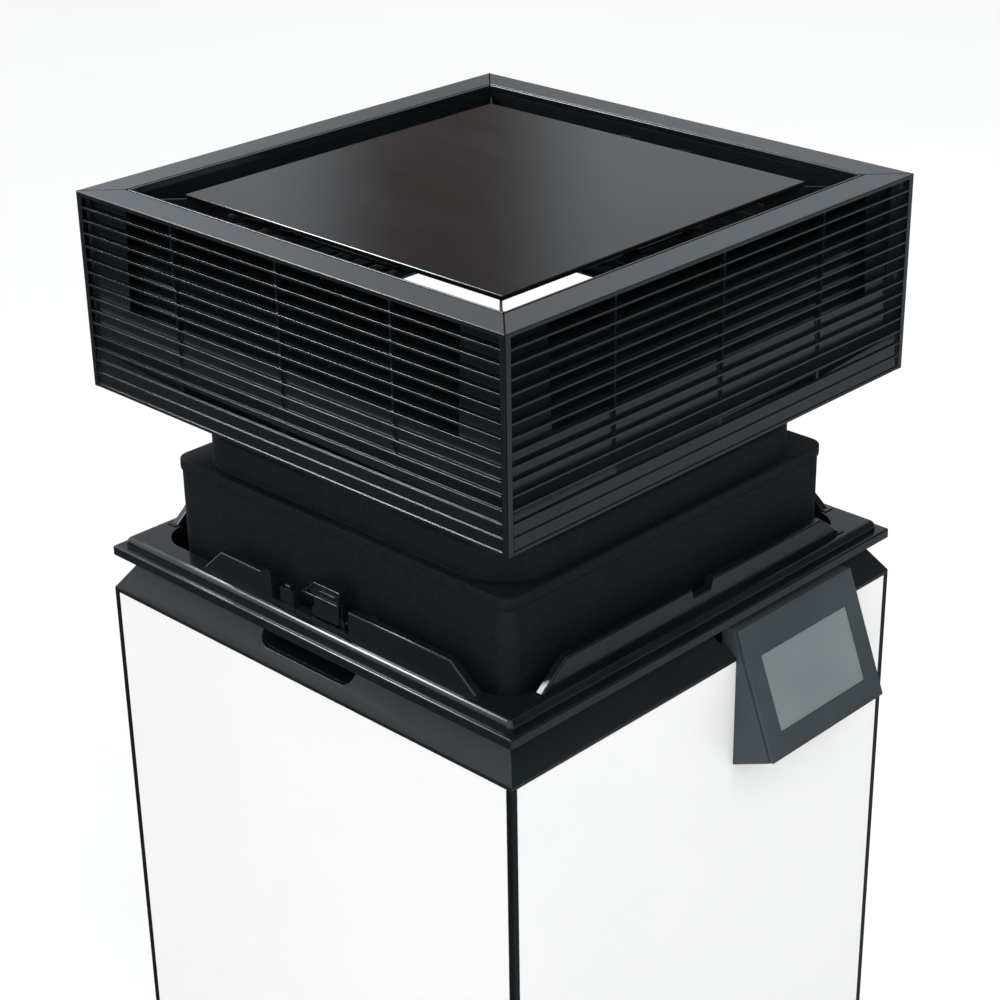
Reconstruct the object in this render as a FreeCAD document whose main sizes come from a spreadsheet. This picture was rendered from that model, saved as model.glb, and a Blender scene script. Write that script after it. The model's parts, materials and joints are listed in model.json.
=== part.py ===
"""Square floor-standing room air purifier with a lift-off louvred outlet hood.

Frame: millimetres, +Z up, origin on the floor under the middle of the cabinet.
The front, which carries the display, faces -Y and the hood catch is on the -X side.
The hood is drawn lifted clear of the cabinet; it slides down by hood_lift to its seat.
"""
import FreeCAD, Part
import math
import os
import re
import Sketcher

V = FreeCAD.Vector
doc = FreeCAD.newDocument("room_air_purifier")
sheet = doc.addObject("Spreadsheet::Sheet", "Sizes")

SIZES = {
    # cabinet
    "cabinet_side": 350.0, "cabinet_top": 560.0,
    "foot_height": 12.0, "foot_radius": 17.0, "foot_inset": 32.0,
    "plinth_half": 168.0, "plinth_top": 58.0, "rim_top": 64.0, "plinth_wall": 4.0,
    "intake_width": 5.0, "intake_pitch": 11.0, "intake_reach": 12, "intake_cut": 6.0,
    "mat_inset": 12.0, "mat_thick": 3.0,
    "post_strip": 4.5, "post_leg": 16.5, "post_wall": 4.0, "panel_thick": 1.5,
    # shoulder and hand grips
    "lip_height": 2.5, "shoulder_rise": 26.0, "shoulder_inset": 16.0, "shoulder_wall": 3.0,
    "grip_half": 40.5, "grip_low": 9.8, "grip_high": 22.0, "grip_round": 8.0,
    # top ring
    "flange_half": 174.2, "flange_thick": 6.0, "flange_round": 1.3,
    "deck_half": 169.0, "deck_thick": 6.0, "deck_round": 4.5,
    "mouth_half": 154.0, "mouth_round": 22.0,
    "fin_face": 161.5, "fin_back": 155.5, "fin_height": 16.0, "fin_foot": 137.0, "fin_end": 116.0,
    "fin_round": 1.3, "fin_step_out": 1.2, "fin_step_high": 0.7,
    # foam fan box
    "foam_half": 143.0, "foam_round": 10.0, "foam_wall": 12.0, "foam_low": 338.0,
    "lid_low": 85.5, "lid_top": 93.0, "collar_top": 113.0,
    "collar_half": 136.5, "collar_round": 36.0, "outlet_half": 112.0, "outlet_round": 30.0,
    "guard_pitch": 17.0, "guard_wire": 1.1, "guard_drop": 8.0,
    # fan and filter
    "impeller_radius": 108.0, "impeller_low": 354.0, "impeller_high": 430.0,
    "shaft_radius": 4.0, "motor_radius": 46.0, "motor_low": 440.0, "motor_high": 500.0,
    "inlet_radius": 76.0, "running_gap": 0.05,
    "hub_radius": 14.0, "hub_depth": 22.0, "blade_count": 9, "blade_thick": 2.4, "blade_length": 48.0,
    "blade_start": 57.6, "blade_lean": 38.0,
    "bearing_radius": 11.0, "bearing_width": 7.0, "spider_arm": 9.0, "spider_thick": 4.0,
    "filter_half": 143.0, "filter_low": 76.0, "filter_high": 326.0, "gasket_thick": 6.0,
    "filter_shell": 4.0, "pleat_count": 16, "pleat_depth": 12.0,
    # electrics
    "plate_thick": 2.0,
    "socket_half": 30.0, "socket_low": 9.0, "socket_high": 36.0, "socket_deep": 26.0,
    "socket_brim": 1.5, "rocker_rise": 22.5, "rocker_axle": 1.5, "rocker_depth": 6.0,
    # display pod
    "pod_left": 19.0, "pod_right": 131.0, "pod_wall": 2.5,
    "pod_top_out": 176.3, "pod_top": 21.0, "pod_front_out": 206.4, "pod_front": -58.4,
    "pod_heel": -72.2, "pod_back": 163.5, "pod_back_wall": 1.5, "pod_tip_drop": 10.0,
    "face_plate": 2.6, "seam_wide": 1.0, "seam_deep": 0.9,
    "glass_rim": 3.0, "glass_sunk": 0.8, "glass_thick": 2.0, "board_thick": 1.8, "seat_depth": 4.6,
    "screen_side": 13.5, "screen_width": 85.0, "screen_drop": 20.4, "screen_height": 49.4,
    # hood
    "hood_side": 350.0, "hood_height": 123.7, "hood_lift": 110.0, "hood_inner": 169.6,
    "bezel_width": 23.0, "bezel_thick": 2.6, "skirt_drop": 17.0, "skirt_wall": 2.0,
    "slat_count": 14, "slat_first": 9.0, "slat_pitch": 8.07, "slat_thick": 1.5, "slat_set": 0.4,
    "slat_open": 8, "slat_inner": 158.0, "slat_fall": 1.3, "slat_short": 6.0,
    "wall_foot": 0.9, "wall_head": 7.0, "wall_thick": 1.5, "window_low": 57.0, "window_margin": 38.0,
    "rail_thick": 2.0, "stile_width": 4.2, "rib_pitch": 90.0, "rib_wall": 1.8, "rib_set": 1.8,
    "groove_wide": 1.0, "groove_deep": 0.8, "groove_in": 1.6,
    "block_width": 19.0, "block_set": 2.4, "seam_gap": 0.3, "edge_round": 0.7,
    "panel_half": 129.5, "panel_drop": 3.5, "top_panel_thick": 3.0,
    "bracket_low": 14.0, "bracket_thick": 3.0, "brace_leg": 16.0, "brace_low": 7.5, "brace_drop": 24.0,
    # hood catch and lid switch
    "hook_pivot_x": 156.0, "hook_pivot_rise": 42.0, "hook_pin_radius": 1.5, "hook_mid": -12.5,
    "hook_low": 52.0, "hook_high": 62.5, "apron_out": 4.2, "apron_low": 40.6,
}
for row, (alias, number) in enumerate(SIZES.items(), start=1):
    sheet.set(f"A{row}", alias.replace("_", " "))
    sheet.set(f"B{row}", str(number))
    sheet.setAlias(f"B{row}", alias)
doc.recompute()

WORD = re.compile(r"[a-z][a-z_]+[a-z]")


def bound(text):
    """Write an expression so that each size in it points at the sheet."""
    return WORD.sub(lambda found: "Sizes." + found[0] if found[0] in SIZES else found[0], str(text))


def number_of(text):
    """The present value of an expression over the sheet."""
    return float(sheet.evalExpression(str(text)))


def bind(piece, prop, text):
    piece.setExpression(prop, bound(text))


# ---------------------------------------------------------------- building helpers
def box(name, x, y, z):
    """A box from (low, high) pairs of expressions."""
    piece = doc.addObject("Part::Box", name)
    for axis, length, (low, high) in (("x", "Length", x), ("y", "Width", y), ("z", "Height", z)):
        bind(piece, length, f"({high}) - ({low})")
        bind(piece, f"Placement.Base.{axis}", low)
    return piece


def rod(name, radius, centre, axis, low, high):
    """A cylinder along an axis; centre gives the two other coordinates in order."""
    piece = doc.addObject("Part::Cylinder", name)
    bind(piece, "Radius", radius)
    bind(piece, "Height", f"({high}) - ({low})")
    turns = {"x": (V(0, 1, 0), 90), "y": (V(1, 0, 0), -90), "z": (V(0, 0, 1), 0)}
    piece.Placement = FreeCAD.Placement(V(0, 0, 0), FreeCAD.Rotation(*turns[axis]))
    others = [letter for letter in "xyz" if letter != axis]
    for letter, place in zip(others, centre):
        bind(piece, f"Placement.Base.{letter}", place)
    bind(piece, f"Placement.Base.{axis}", low)
    return piece


def tube(name, outer, inner, centre, axis, low, high):
    wall = rod(name + "_wall", outer, centre, axis, low, high)
    bore = rod(name + "_bore", inner, centre, axis, f"({low}) - 1", f"({high}) + 1")
    return cut(name, wall, bore)


def draw(sketch, points):
    """A closed outline whose corners are bound to the sheet."""
    corners = [V(number_of(a), number_of(b), 0) for a, b in points]
    count = len(points)
    for i in range(count):
        sketch.addGeometry(Part.LineSegment(corners[i], corners[(i + 1) % count]), False)
    for i in range(count):
        sketch.addConstraint(Sketcher.Constraint("Coincident", i, 2, (i + 1) % count, 1))
    for i, (a, b) in enumerate(points):
        for kind, text, value in (("DistanceX", a, corners[i].x), ("DistanceY", b, corners[i].y)):
            made = sketch.addConstraint(Sketcher.Constraint(kind, -1, 1, i, 1, value))
            sketch.setExpression(f"Constraints[{made}]", bound(text))


def prism(name, plane, points, low, high):
    """An outline in a main plane, drawn out along the third axis."""
    sketch = doc.addObject("Sketcher::SketchObject", name + "_outline")
    draw(sketch, points)
    turns = {"XY": (V(0, 0, 1), 0), "XZ": (V(1, 0, 0), 90), "YZ": (V(1, 1, 1), 120)}
    sketch.Placement = FreeCAD.Placement(V(0, 0, 0), FreeCAD.Rotation(*turns[plane]))
    letter, start = {"XY": ("z", low), "XZ": ("y", high), "YZ": ("x", low)}[plane]
    bind(sketch, f"Placement.Base.{letter}", start)
    piece = doc.addObject("Part::Extrusion", name)
    piece.Base = sketch
    piece.DirMode = "Normal"
    piece.Solid = True
    bind(piece, "LengthFwd", f"({high}) - ({low})")
    return piece


def fuse(name, pieces):
    whole = doc.addObject("Part::MultiFuse", name)
    whole.Shapes = pieces
    whole.Refine = True
    return whole


def cut(name, base, tool):
    if isinstance(tool, list):
        tool = fuse(name + "_tools", tool) if len(tool) > 1 else tool[0]
    rest = doc.addObject("Part::Cut", name)
    rest.Base = base
    rest.Tool = tool
    return rest


def common(name, first, second):
    shared = doc.addObject("Part::MultiCommon", name)
    shared.Shapes = [first, second]
    return shared


def rounded(name, base, size, chosen):
    """Fillet every edge of base that the test 'chosen' accepts."""
    doc.recompute()
    picks = [i for i, edge in enumerate(base.Shape.Edges, start=1) if chosen(edge)]
    soft = doc.addObject("Part::Fillet", name)
    soft.Base = base
    soft.Edges = [(i, size, size) for i in picks]
    return soft


def upright(edge):
    box_of = edge.BoundBox
    return box_of.XLength < 1e-6 and box_of.YLength < 1e-6 and box_of.ZLength > 1e-3


def turned(name, source, degrees):
    """A copy of a piece turned about the vertical axis of the cabinet."""
    copy = doc.addObject("Part::Feature", name)
    shape = source.Shape.copy()
    shape.rotate(V(0, 0, 0), V(0, 0, 1), degrees)
    copy.Shape = shape
    return copy


def square_block(name, half, low, high, corner=None):
    block = box(name + "_block", (f"-({half})", half), (f"-({half})", half), (low, high))
    if corner is None:
        return block
    return rounded(name, block, number_of(corner), upright)


NODES = []


def keep(piece, label):
    piece.Label = label
    NODES.append(piece)
    return piece


TOP = "cabinet_top"
HALF = "cabinet_side / 2"
SIDES = {"front": 0, "right": 90, "back": 180, "left": 270}


# ---------------------------------------------------------------- base
def make_base():
    """Hollow plinth with upright intake slots under a rim that carries the panels."""
    block = box("plinth_block", ("-plinth_half", "plinth_half"), ("-plinth_half", "plinth_half"),
                ("foot_height", "rim_top"))
    rim = box("plinth_rim", (f"-{HALF}", HALF), (f"-{HALF}", HALF), ("plinth_top", "rim_top"))
    whole = fuse("plinth_solid", [block, rim])
    inside = "plinth_half - plinth_wall"
    hollow = box("plinth_hollow", (f"-({inside})", inside), (f"-({inside})", inside),
                 ("foot_height + plinth_wall", "plinth_top"))
    mouth = box("plinth_mouth", ("-filter_half + 8", "filter_half - 8"),
                ("-filter_half + 8", "filter_half - 8"), ("plinth_top - 1", "rim_top + 1"))
    slots = []
    slot_low, slot_high = "foot_height + 8", "plinth_top - 6"
    reach = int(number_of("intake_reach"))
    past_socket = 3
    for step in range(-reach, reach + 1):
        low, high = f"{step} * intake_pitch - intake_width / 2", f"{step} * intake_pitch + intake_width / 2"
        if abs(step) > past_socket:
            slots.append(box("slot_back", (low, high), ("plinth_half - intake_cut", "plinth_half + 1"),
                             (slot_low, slot_high)))
        slots.append(box("slot_front", (low, high), ("-plinth_half - 1", "-plinth_half + intake_cut"),
                         (slot_low, slot_high)))
        slots.append(box("slot_left", ("-plinth_half - 1", "-plinth_half + intake_cut"), (low, high),
                         (slot_low, slot_high)))
        slots.append(box("slot_right", ("plinth_half - intake_cut", "plinth_half + 1"), (low, high),
                         (slot_low, slot_high)))
    socket_hole = box("socket_hole", ("-socket_half", "socket_half"),
                      ("plinth_half - intake_cut", "plinth_half + 1"),
                      ("foot_height + socket_low", "foot_height + socket_high"))
    keep(cut("base_plinth", whole, [hollow, mouth, socket_hole] + slots), "base_plinth")

    reach = "cabinet_side / 2 - foot_inset"
    feet = {"foot_1": (-1, -1), "foot_2": (1, -1), "foot_3": (1, 1), "foot_4": (-1, 1),
            "foot_centre": (0, 0)}
    for label, (sx, sy) in feet.items():
        pad = rod(f"{label}_pad", "foot_radius", (f"{sx} * ({reach})", f"{sy} * ({reach})"),
                  "z", 0, "foot_height")
        keep(rounded(label, pad, 2.0, lambda edge: edge.BoundBox.ZMax < 0.01), label)
    mat_edge = "plinth_half - mat_inset"
    mat = box("prefilter_mat", (f"-({mat_edge})", mat_edge), (f"-({mat_edge})", mat_edge),
              ("plinth_top - mat_thick", "plinth_top"))
    keep(mat, "prefilter_mat")


# ---------------------------------------------------------------- cabinet skin
def make_posts_and_panels():
    """Black corner angles with white panels let in flush between them."""
    inner = f"{HALF} - post_leg"
    bar = box("post_bar", (f"-{HALF}", f"-({inner})"), (f"-{HALF}", f"-({inner})"), ("rim_top", TOP))
    hollow = box("post_hollow", (f"-{HALF} + post_wall + panel_thick", f"-({inner}) + 1"),
                 (f"-{HALF} + post_wall + panel_thick", f"-({inner}) + 1"),
                 ("rim_top - 1", "cabinet_top + 1"))
    seat_x = box("post_seat_x", (f"-{HALF} + post_strip", f"-({inner}) + 1"),
                 (f"-{HALF} - 1", f"-{HALF} + panel_thick"), ("rim_top - 1", "cabinet_top + 1"))
    seat_y = box("post_seat_y", (f"-{HALF} - 1", f"-{HALF} + panel_thick"),
                 (f"-{HALF} + post_strip", f"-({inner}) + 1"), ("rim_top - 1", "cabinet_top + 1"))
    post = cut("post_angle", bar, [hollow, seat_x, seat_y])
    doc.recompute()
    for number in range(1, 5):
        keep(turned(f"corner_post_{number}", post, 90 * (number - 1)), f"corner_post_{number}")
    edge = f"{HALF} - post_strip"
    panel = box("side_panel", (f"-({edge})", edge), (f"-{HALF}", f"-{HALF} + panel_thick"),
                ("rim_top", TOP))
    doc.recompute()
    for side, degrees in SIDES.items():
        keep(turned(f"panel_{side}", panel, degrees), f"panel_{side}")


# ---------------------------------------------------------------- shoulder
def frustum(name, low_half, high_half, low, high):
    """A square block that narrows upwards."""
    piece = doc.addObject("Part::Wedge", name)
    sizes_of = {"Xmin": f"-({low_half})", "Xmax": low_half, "Zmin": f"-({low_half})",
                "Zmax": low_half, "X2min": f"-({high_half})", "X2max": high_half,
                "Z2min": f"-({high_half})", "Z2max": high_half, "Ymin": 0,
                "Ymax": f"({high}) - ({low})"}
    for prop, text in sizes_of.items():
        bind(piece, prop, text)
    piece.Placement = FreeCAD.Placement(V(0, 0, 0), FreeCAD.Rotation(V(1, 0, 0), 90))
    bind(piece, "Placement.Base.z", low)
    return piece


def make_shoulder():
    """Sloped black collar between the cabinet edge and the top ring."""
    slope_low = "cabinet_top + lip_height"
    slope_high = "cabinet_top + shoulder_rise"
    upper_half = f"{HALF} - shoulder_inset"
    lip = square_block("shoulder_lip", HALF, TOP, slope_low)
    slope = frustum("shoulder_slope", HALF, upper_half, slope_low, slope_high)
    outer = fuse("shoulder_outer", [lip, slope])
    inner_low = f"{HALF} - shoulder_wall"
    inner_high = f"{upper_half} - shoulder_wall"
    core_lip = square_block("core_lip", inner_low, "cabinet_top - 1", slope_low)
    core_slope = frustum("core_slope", inner_low, inner_high, slope_low, slope_high)
    core_cap = square_block("core_cap", inner_high, f"{slope_high} - 0.01", f"{slope_high} + 2")
    core = fuse("shoulder_core", [core_lip, core_slope, core_cap])

    def grip_block(name, low_x, high_x, grow):
        block = box(name + "_block", (low_x, high_x), (f"-grip_half - {grow}", f"grip_half + {grow}"),
                    (f"cabinet_top + grip_low - {grow}", f"cabinet_top + grip_high + {grow}"))
        low_edge = number_of("cabinet_top + grip_low + 1")
        return rounded(name, block, number_of("grip_round") + grow / 2,
                       lambda edge: edge.BoundBox.ZMax < low_edge and edge.BoundBox.YLength < 0.01
                       and edge.BoundBox.XLength > 1)

    holes = [grip_block("grip_hole_left", f"-{HALF} - 1", "-mouth_half - 1", 0),
             grip_block("grip_hole_right", "mouth_half + 1", f"{HALF} + 1", 0)]
    pod_room = prism("pod_room", "XZ",
                     [("pod_left - 15", "cabinet_top + shoulder_rise + 1"),
                      ("pod_left", "cabinet_top + lip_height"),
                      ("pod_right + 1", "cabinet_top + lip_height"),
                      ("pod_right + 1", "cabinet_top + shoulder_rise + 1")],
                     f"-{HALF} - 1", "-mouth_half - 0.5")
    keep(cut("shoulder_frame", outer, [core, pod_room] + holes), "shoulder_frame")

    core_copy = fuse("cup_limit", [
        frustum("cup_limit_slope", inner_low, inner_high, slope_low, slope_high),
        square_block("cup_limit_lip", inner_low, TOP, slope_low)])
    for name, sign in (("left", -1), ("right", 1)):
        if sign < 0:
            span, room = (f"-{HALF}", "-mouth_half + 8"), (f"-{HALF} - 1", "-mouth_half + 6")
        else:
            span, room = ("mouth_half - 8", HALF), ("mouth_half - 6", f"{HALF} + 1")
        shell = grip_block(f"cup_shell_{name}", span[0], span[1], 2)
        inside = grip_block(f"cup_inside_{name}", room[0], room[1], 0)
        bounded = common(f"cup_bounded_{name}", shell, core_copy)
        keep(cut(f"grip_cup_{name}", bounded, inside), f"grip_cup_{name}")


# ---------------------------------------------------------------- top ring
RING_LOW = "cabinet_top + shoulder_rise"
FLANGE_TOP = f"{RING_LOW} + flange_thick"
DECK_TOP = f"{FLANGE_TOP} + deck_thick"
FIN_TOP = f"{DECK_TOP} + fin_height"
PIVOT_Z = "cabinet_top + hook_pivot_rise"


def level_at(height):
    """A test for edges that lie level at one height."""
    return lambda edge: edge.BoundBox.ZLength < 1e-6 and abs(edge.BoundBox.ZMin - height) < 1e-4


def make_ring():
    """Flanged ring round the mouth of the cabinet with four guide fins for the hood."""
    flange = square_block("flange", "flange_half", RING_LOW, FLANGE_TOP)
    flange_soft = rounded("flange_soft", flange, number_of("flange_round"),
                          lambda edge: level_at(number_of(FLANGE_TOP))(edge) or upright(edge))
    deck = square_block("deck", "deck_half", f"{FLANGE_TOP} - 1", DECK_TOP)
    deck_soft = rounded("deck_soft", deck, number_of("deck_round"),
                        lambda edge: level_at(number_of(DECK_TOP))(edge) or upright(edge))
    mouth = square_block("mouth", "mouth_half", f"{RING_LOW} - 1", f"{DECK_TOP} + 1", "mouth_round")
    plate = cut("ring_plate", fuse("ring_plate_solid", [flange_soft, deck_soft]), mouth)

    foot = f"{DECK_TOP} - 0.5"
    notch_low = f"{FIN_TOP} - 6"
    front = prism("fin_front", "XZ",
                  [("-fin_foot", foot), ("-fin_end", FIN_TOP), (-7.5, FIN_TOP), (-5.5, notch_low),
                   (10.5, notch_low), (12.5, FIN_TOP), ("fin_end + 2", FIN_TOP),
                   ("fin_foot + 3", foot)], "-fin_face", "-fin_back")
    plain = [("-fin_foot", foot), ("-fin_end", FIN_TOP), ("fin_end", FIN_TOP), ("fin_foot", foot)]
    back = prism("fin_back_side", "XZ", plain, "fin_back", "fin_face")
    right = prism("fin_right", "YZ", plain, "fin_back", "fin_face")
    left_far = prism("fin_left_far", "YZ",
                     [("fin_foot - 38", foot), ("fin_foot - 56", FIN_TOP), (44, FIN_TOP),
                      (40, f"{FIN_TOP} + 2.6"), (37, f"{FIN_TOP} + 3.8"), (34.5, f"{FIN_TOP} + 2.4"),
                      (34, foot)], "-fin_face", "-fin_back")
    left_near = prism("fin_left_near", "YZ",
                      [(-33, foot), (-33, FIN_TOP), ("-fin_end", FIN_TOP), ("-fin_foot", foot)], "-fin_face", "-fin_back")
    fins = [front, back, right, left_far, left_near]
    softened = []
    for fin in fins:
        base_level = number_of(DECK_TOP)
        softened.append(rounded(fin.Name + "_soft", fin, number_of("fin_round"),
                                lambda edge: edge.BoundBox.ZMin > base_level - 0.6
                                and max(edge.BoundBox.XLength, edge.BoundBox.YLength) > 6
                                and edge.BoundBox.ZLength < 25
                                and edge.BoundBox.ZMax > base_level + 3))
    sill = box("ring_sill", ("-fin_face", "-fin_face + 1.6"), (-33, 34), (foot, f"{DECK_TOP} + 1.4"))
    step_out, step_in = "fin_face + fin_step_out", "fin_back"
    step_high = (foot, f"{DECK_TOP} + fin_step_high")
    near_end, far_end = "-fin_foot - 1", "fin_foot + 1"
    foot_steps = [box("foot_step_front", (near_end, "fin_foot + 4"), (f"-({step_out})", f"-{step_in}"), step_high),
                  box("foot_step_back", (near_end, far_end), (step_in, step_out), step_high),
                  box("foot_step_right", (step_in, step_out), (near_end, far_end), step_high),
                  box("foot_step_left", (f"-({step_out})", f"-{step_in}"), (near_end, "fin_foot - 37"),
                      step_high)]
    lugs = [box("lug_near", ("-hook_pivot_x - 3", "-hook_pivot_x + 3.5"), ("hook_mid - 14", "hook_mid - 11"),
                (f"{DECK_TOP} - 4", f"{PIVOT_Z} + 2.6")),
            box("lug_far", ("-hook_pivot_x - 3", "-hook_pivot_x + 3.5"), ("hook_mid + 11", "hook_mid + 14"),
                (f"{DECK_TOP} - 4", f"{PIVOT_Z} + 2.6"))]
    step = box("fin_inner_step", ("-fin_back", "-fin_back + 2.2"), (-52, -46),
               (f"{DECK_TOP} - 4", f"{FIN_TOP} - 0.5"))
    web = box("step_web", ("-mouth_half - 1.5", "-fin_back + 2.2"), (-52, -46),
              (f"{RING_LOW} + 1", f"{DECK_TOP} - 1"))
    whole = fuse("ring_whole", [plate, sill, step, web] + foot_steps + lugs + softened)
    pin_hole = rod("lug_hole", "hook_pin_radius", ("-hook_pivot_x", PIVOT_Z), "y",
                   "hook_mid - 15", "hook_mid + 15")
    keep(cut("top_ring", whole, pin_hole), "top_ring")


# ---------------------------------------------------------------- hood catch and lid switch
def make_catch():
    """Sprung finger hook on a cross pin, and the plunger switch beside it."""
    low, high = "cabinet_top + hook_low", "cabinet_top + hook_high"
    tab = prism("hook_tab", "YZ", [("hook_mid + 22", low), ("hook_mid + 10", high),
                                     ("hook_mid - 12.2", high), ("hook_mid - 10.2", low)],
                "-hook_pivot_x - 4.2", "-hook_pivot_x + 3.2")
    dish = prism("hook_dish", "YZ",
                 [("hook_mid + 18.3", f"{low} + 1.4"), ("hook_mid + 9.5", f"{high} - 1.4"),
                  ("hook_mid - 10.6", f"{high} - 1.4"), ("hook_mid - 9.1", f"{low} + 1.4")], "-hook_pivot_x - 5", "-hook_pivot_x - 2.2")
    ridge = box("hook_ridge", ("-hook_pivot_x - 3.4", "-hook_pivot_x - 2"), ("hook_mid - 7", "hook_mid + 6"),
                (f"{low} + 4.8", f"{low} + 5.8"))
    arm = prism("hook_arm", "YZ",
                [("hook_mid + 10.5", f"{PIVOT_Z} - 1.6"), ("hook_mid + 10.5", f"{low} + 1"),
                 ("hook_mid - 10.5", f"{low} + 1"), ("hook_mid - 10.5", f"{PIVOT_Z} - 1.6")], "-hook_pivot_x - 1.5", "-hook_pivot_x + 1.8")
    apron = box("hook_apron", ("-hook_pivot_x - apron_out", "-hook_pivot_x - apron_out + 1"),
                ("hook_mid - 10.5", "hook_mid + 10.5"), ("cabinet_top + apron_low", f"{low} + 1"))
    ear_near = rod("ear_near", 3.1, ("-hook_pivot_x", PIVOT_Z), "y", "hook_mid - 10.5", "hook_mid - 4.5")
    ear_far = rod("ear_far", 3.1, ("-hook_pivot_x", PIVOT_Z), "y", "hook_mid + 4.5", "hook_mid + 10.5")
    solid = fuse("hook_solid", [cut("hook_head", tab, dish), ridge, arm, apron, ear_near, ear_far])
    bore = rod("hook_bore", "hook_pin_radius + running_gap", ("-hook_pivot_x", PIVOT_Z), "y",
               "hook_mid - 12", "hook_mid + 12")
    window = box("hook_window", ("-hook_pivot_x - apron_out + 1", "-hook_pivot_x + 5"),
                 ("hook_mid - 4.5", "hook_mid + 4.5"), (f"{PIVOT_Z} - 4", f"{PIVOT_Z} + 4.2"))
    keep(cut("latch_hook", solid, [bore, window]), "latch_hook")
    pin = rod("latch_pin", "hook_pin_radius", ("-hook_pivot_x", PIVOT_Z), "y",
              "hook_mid - 14.5", "hook_mid + 14.5")
    keep(pin, "latch_pin")
    coils = []
    for turn in range(5):
        coil = doc.addObject("Part::Torus", f"spring_turn_{turn}")
        coil.Radius1 = 2.3
        coil.Radius2 = 0.55
        coil.Placement = FreeCAD.Placement(V(0, 0, 0), FreeCAD.Rotation(V(1, 0, 0), 90))
        bind(coil, "Placement.Base.x", "-hook_pivot_x")
        bind(coil, "Placement.Base.y", f"hook_mid - 2.2 + {turn}")
        bind(coil, "Placement.Base.z", PIVOT_Z)
        coils.append(coil)
    leg = box("spring_leg", ("-hook_pivot_x + 2", "-hook_pivot_x + 2.8"),
              ("hook_mid - 2.6", "hook_mid - 1.8"), (f"{DECK_TOP} - 8", PIVOT_Z))
    keep(fuse("latch_spring", coils + [leg]), "latch_spring")

    body = box("switch_body", ("-fin_face + 2", "-fin_back + 1.5"), (17.5, 29.5),
               (f"{DECK_TOP} + fin_step_high", f"{DECK_TOP} + 10"))
    well = box("switch_well", ("-fin_face + 3", "-fin_back + 0.3"), (20.95, 26.05),
               (f"{DECK_TOP} + 4", f"{DECK_TOP} + 11"))
    keep(cut("interlock_switch", body, well), "interlock_switch")
    plunger = box("plunger_stem", ("-fin_face + 3.05", "-fin_back + 0.25"), (21, 26),
                  (f"{DECK_TOP} + 7", f"{DECK_TOP} + 12.5"))
    crown = number_of(f"{DECK_TOP} + 12.5")
    keep(rounded("interlock_plunger", plunger, 0.6, level_at(crown)), "interlock_plunger")


# ---------------------------------------------------------------- foam fan box
def make_foam_box():
    """Matt foam case round the fan with a stepped lid and a raised outlet collar."""
    seam = "cabinet_top + lid_low"
    lid_top = "cabinet_top + lid_top"
    case = square_block("case_outer", "foam_half", "foam_low", seam, "foam_round")
    hollow = square_block("case_hollow", "foam_half - foam_wall", "foam_low + foam_wall",
                          f"{seam} + 1", "foam_round")
    throat = rod("case_throat", "inlet_radius + 22", (0, 0), "z", "foam_low - 1",
                 "foam_low + foam_wall + 1")
    keep(cut("foam_box_case", case, [hollow, throat]), "foam_box_case")
    skirt = square_block("lid_skirt", "foam_half + 0.7", seam, lid_top, "foam_round")
    collar = square_block("lid_collar", "collar_half", f"{lid_top} - 1",
                          "cabinet_top + collar_top", "collar_round")
    skirt_soft = rounded("lid_skirt_soft", skirt, 1.6, level_at(number_of(lid_top)))
    collar_soft = rounded("lid_collar_soft", collar, 3.0,
                          level_at(number_of("cabinet_top + collar_top")))
    outlet = square_block("lid_outlet", "outlet_half", f"{seam} - 1",
                          "cabinet_top + collar_top + 1", "outlet_round")
    keep(cut("foam_box_lid", fuse("lid_solid", [skirt_soft, collar_soft]), outlet), "foam_box_lid")
    guard_level = number_of("cabinet_top + collar_top - guard_drop")
    wires = []
    for ring in range(1, 7):
        hoop = doc.addObject("Part::Torus", f"guard_hoop_{ring}")
        hoop.Radius1 = number_of("guard_pitch") * ring
        hoop.Radius2 = number_of("guard_wire")
        hoop.Placement = FreeCAD.Placement(V(0, 0, guard_level), FreeCAD.Rotation())
        wires.append(hoop)
    for name, axis in (("a", "x"), ("b", "y")):
        wires.append(rod(f"guard_spoke_{name}", "guard_wire + 0.3", (0, guard_level), axis,
                         "-outlet_half", "outlet_half"))
    keep(fuse("outlet_guard", wires), "outlet_guard")


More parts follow.
